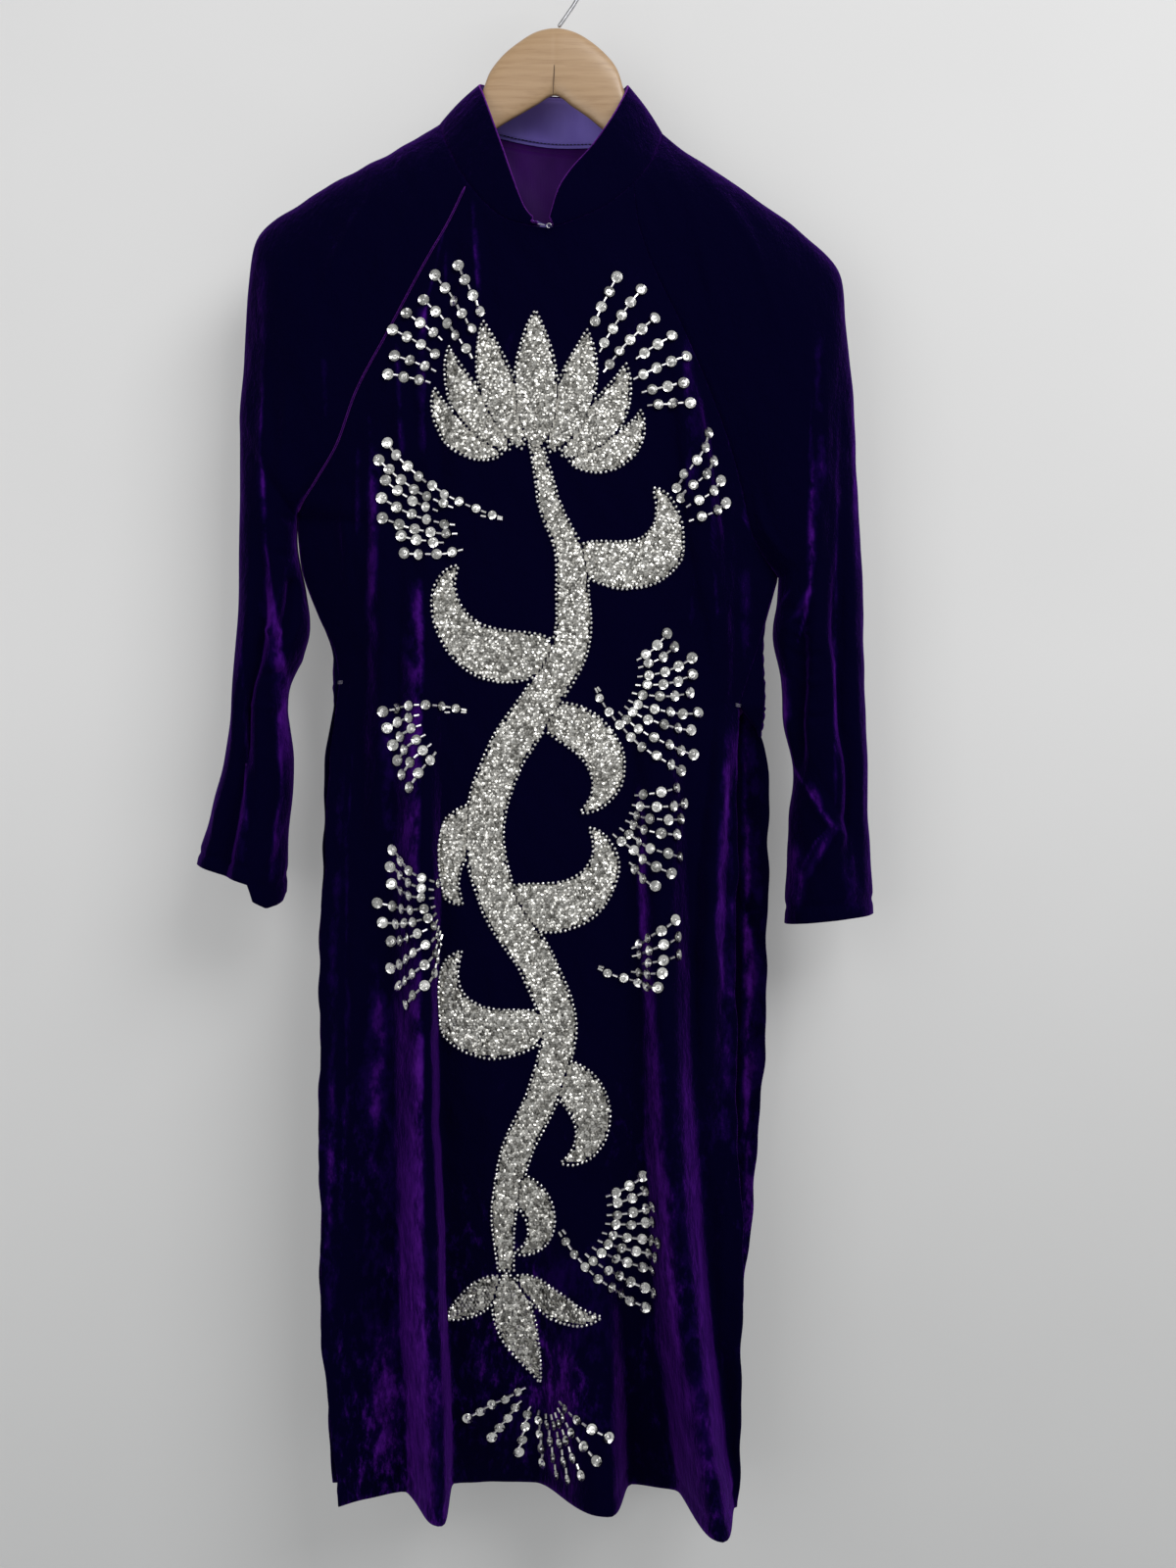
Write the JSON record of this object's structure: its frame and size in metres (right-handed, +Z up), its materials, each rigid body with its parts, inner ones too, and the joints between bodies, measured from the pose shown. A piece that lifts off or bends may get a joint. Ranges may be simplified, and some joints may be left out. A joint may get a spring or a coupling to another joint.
{
  "type": "ao dai tunic on a clothes hanger",
  "caption": "Long-sleeved velvet tunic with a stand collar, raglan sleeves and high side slits, hung on a wooden hanger.",
  "frame": {"origin": "inner top of the hanger's hook, where a rail or wall hook carries it", "axes": "+Z up, the front faces -Y, +X to the wearer's left"},
  "size_m": [0.531, 0.1792, 1.2133],
  "materials": {
    "velvet": "deep purple pile velvet with a bright sheen at its turned edges",
    "violet_satin": "smooth satin",
    "purple_satin": "smooth satin",
    "pale_wood": "satin clear lacquer",
    "chrome_wire": "polished"
  },
  "bodies": {
    "root": {"front_panel": "velvet", "back_panel": "velvet", "right_sleeve": "velvet", "left_sleeve": "velvet", "collar": "velvet", "collar_lining": "violet_satin", "neck_lining": "purple_satin", "hanger_arms": "pale_wood", "hanger_hook": "chrome_wire"}
  },
  "joints": []
}
